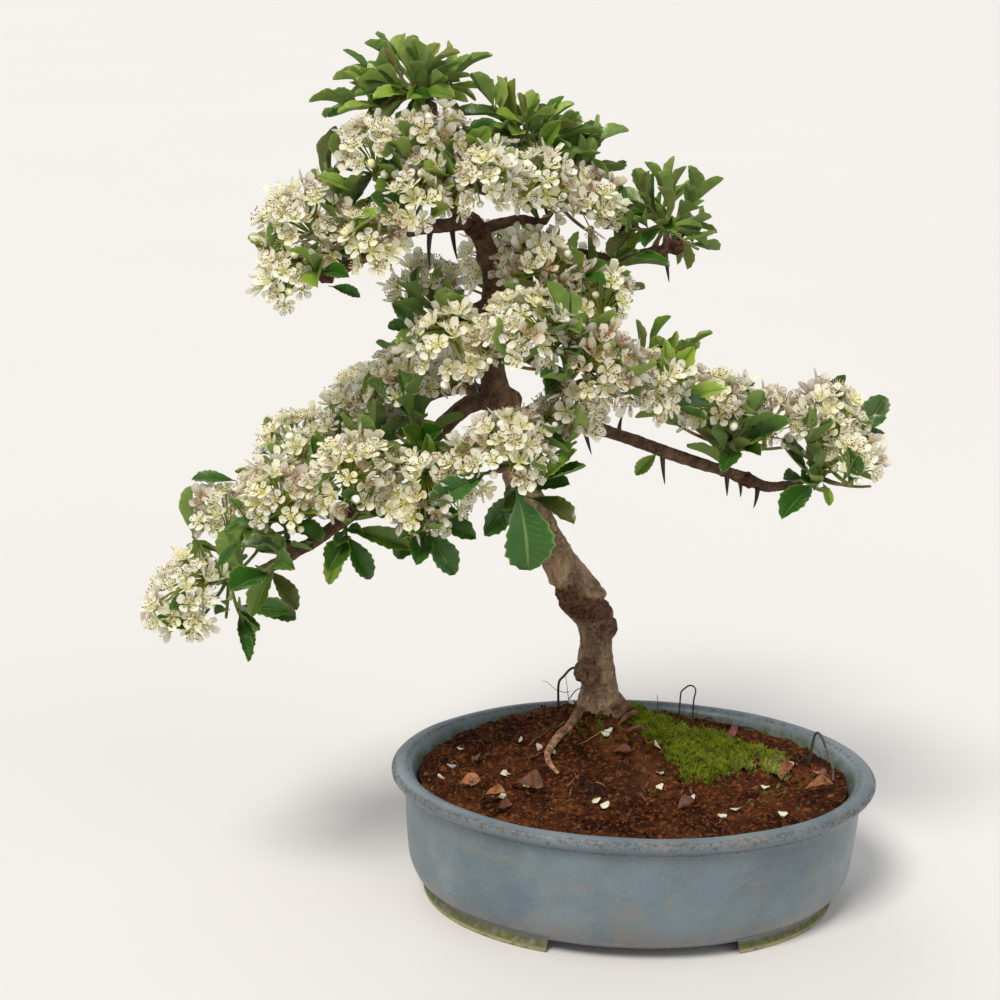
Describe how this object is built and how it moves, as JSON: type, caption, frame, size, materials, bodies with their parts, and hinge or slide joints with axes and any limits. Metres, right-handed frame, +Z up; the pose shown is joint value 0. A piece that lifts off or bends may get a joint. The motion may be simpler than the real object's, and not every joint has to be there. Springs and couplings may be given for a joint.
{
  "type": "potted bonsai tree",
  "caption": "Small flowering pyracantha bonsai with a bent trunk, spreading sprays of cream blossom and green leaves, in an oval glazed pot on two curved feet.",
  "frame": {"origin": "on the surface that the pot stands on, under the middle of the whole object's bounding box", "axes": "+X along the pot's long axis to the side away from the low left branch, +Y to the back as pictured, +Z up"},
  "size_m": [0.2658, 0.1336, 0.3103],
  "materials": {
    "blue_glaze": "satin",
    "soil": "matte",
    "moss": "matte",
    "screen": "matte",
    "wire": "satin",
    "bark": "rough",
    "leaf": "glossy",
    "young_leaf": "glossy",
    "petals": "matte"
  },
  "bodies": {
    "root": {"blooms_back_left_1": "petals", "blooms_back_left_2": "petals", "blooms_back_right_1": "petals", "blooms_back_right_2": "petals", "blooms_high_left_1": "petals", "blooms_high_left_2": "petals", "blooms_left_inner_1": "petals", "blooms_left_inner_2": "petals", "blooms_left_middle_1": "petals", "blooms_left_middle_2": "petals", "blooms_left_outer_1": "petals", "blooms_left_outer_2": "petals", "blooms_left_tip_1": "petals", "blooms_left_tip_2": "petals", "blooms_middle_1": "petals", "blooms_right_middle_1": "petals", "blooms_right_middle_2": "petals", "blooms_right_tip_1": "petals", "blooms_top_back_1": "petals", "blooms_top_back_2": "petals", "blooms_top_front_1": "petals", "blooms_top_front_2": "petals", "blooms_top_front_3": "petals", "blooms_top_right_1": "petals", "blooms_upper_front_1": "petals", "blooms_upper_front_2": "petals", "blooms_upper_left_1": "petals", "blooms_upper_left_2": "petals", "blooms_upper_top_1": "petals", "drain_screen_left": "screen", "drain_screen_right": "screen", "leaves_back_left": "leaf", "leaves_back_right": "leaf", "leaves_crown": "young_leaf", "leaves_crown_right": "young_leaf", "leaves_far_right": "young_leaf", "leaves_fork": "young_leaf", "leaves_high_left": "leaf", "leaves_left_inner": "leaf", "leaves_left_middle": "leaf", "leaves_left_outer": "leaf", "leaves_left_tip": "leaf", "leaves_middle": "leaf", "leaves_right_middle": "leaf", "leaves_right_tip": "leaf", "leaves_top_back": "leaf", "leaves_top_front": "leaf", "leaves_top_right": "leaf", "leaves_upper_front": "leaf", "leaves_upper_left": "leaf", "leaves_upper_top": "leaf", "moss": "moss", "pot": "blue_glaze", "soil": "soil", "wire_arch": "wire", "wire_hoop": "wire", "wire_loop": "wire", "wire_wavy": "wire", "wood": "bark"}
  },
  "joints": []
}
